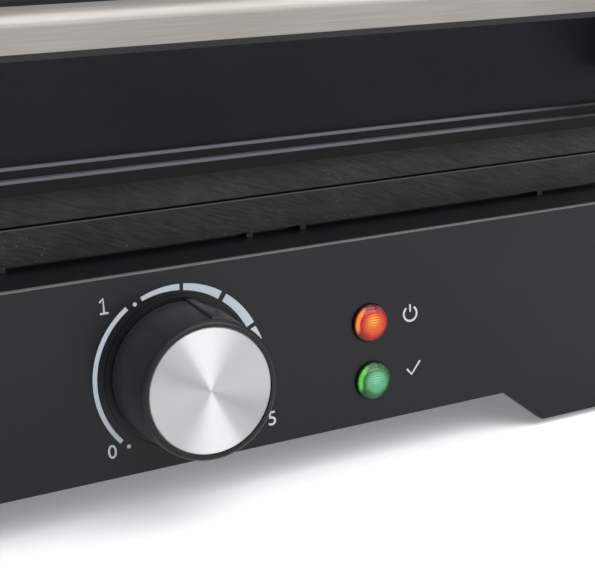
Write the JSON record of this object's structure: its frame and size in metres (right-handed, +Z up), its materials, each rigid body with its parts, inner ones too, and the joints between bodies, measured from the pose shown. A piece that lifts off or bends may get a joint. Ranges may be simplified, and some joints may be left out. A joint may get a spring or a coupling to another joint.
{
  "type": "electric contact grill",
  "caption": "Countertop contact grill: ribbed heated plates in a base and a floating hinged lid, with a front knob, two lamps, a bar handle and a drip tray.",
  "frame": {"origin": "on the table, under the middle of the closed grill's bounding box", "axes": "+X to the user's right, +Y to the back where the lid hinges, +Z up; the control panel faces -Y"},
  "size_m": [0.35, 0.33, 0.157],
  "materials": {
    "black_casing": "satin moulded black plastic",
    "black_lid": "satin moulded black plastic",
    "dark_plastic": "matt moulded black plastic",
    "knob_black": "smooth black plastic",
    "rubber": "matt rubber",
    "coated_cast": "cast aluminium with dark non-stick coating",
    "pan_steel": "dark heat-proof enamel on sheet steel",
    "element": "drawn steel tube",
    "zinc": "zinc-plated steel",
    "steel": "brushed stainless steel",
    "shaft_steel": "ground steel",
    "spun_aluminium": "spun aluminium",
    "red_lens": "clear red plastic lens",
    "green_lens": "clear green plastic lens",
    "lamp": "clear glass neon lamp in a sleeve",
    "beige": "heat-proof pale moulding"
  },
  "bodies": {
    "base": {"base_housing": "black_casing", "rear_panel": "black_casing", "base_cover": "dark_plastic", "rubber_feet": "rubber", "base_cover_screws": "zinc", "lower_pan": "pan_steel", "lower_heating_element": "element", "lower_element_clips": "zinc", "lower_grill_plate": "coated_cast", "lower_plate_screws": "zinc", "lower_pan_screws": "zinc", "thermostat": "zinc", "thermostat_nut": "zinc", "thermostat_bulb": "zinc", "red_lens": "red_lens", "red_lamp": "lamp", "green_lens": "green_lens", "green_lamp": "lamp", "cord_inlet": "dark_plastic", "terminal_block": "beige", "thermal_fuse": "zinc", "left_hinge_post": "black_casing", "right_hinge_post": "black_casing", "hinge_post_screws": "zinc"},
    "knob": {"control_knob": "knob_black", "knob_cap": "spun_aluminium", "control_shaft": "shaft_steel"},
    "tray": {"drip_tray": "dark_plastic"},
    "hinge_carrier": {"hinge_shaft": "shaft_steel", "left_hinge_glide": "dark_plastic", "right_hinge_glide": "dark_plastic"},
    "lid": {"lid_hinge_beam": "dark_plastic", "hinge_beam_screws": "zinc", "lid_housing": "black_lid", "lid_frame": "black_lid", "lid_screws": "zinc", "upper_pan": "pan_steel", "upper_pan_screws": "zinc", "upper_heating_element": "element", "upper_element_clips": "zinc", "upper_grill_plate": "coated_cast", "upper_plate_screws": "zinc", "upper_cutout": "beige", "handle_bar": "steel", "handle_core": "dark_plastic", "left_handle_bracket": "dark_plastic", "right_handle_bracket": "dark_plastic", "handle_screws": "zinc"}
  },
  "joints": [
    {"name": "knob_turn", "type": "hinge", "parent": "base", "child": "knob", "pos_m": [-0.0245, -0.113, 0.0415], "axis": [0, -1, 0], "range_deg": [-123, 147]},
    {"name": "tray_slide", "type": "slide", "parent": "base", "child": "tray", "axis": [0, 1, 0], "range_m": [0, 0.08]},
    {"name": "lid_float", "type": "slide", "parent": "base", "child": "hinge_carrier", "axis": [0, 0, 1], "range_m": [0, 0.016]},
    {"name": "lid_open", "type": "hinge", "parent": "hinge_carrier", "child": "lid", "pos_m": [0, 0.147, 0.1], "axis": [-1, 0, 0], "range_deg": [0, 105]}
  ]
}
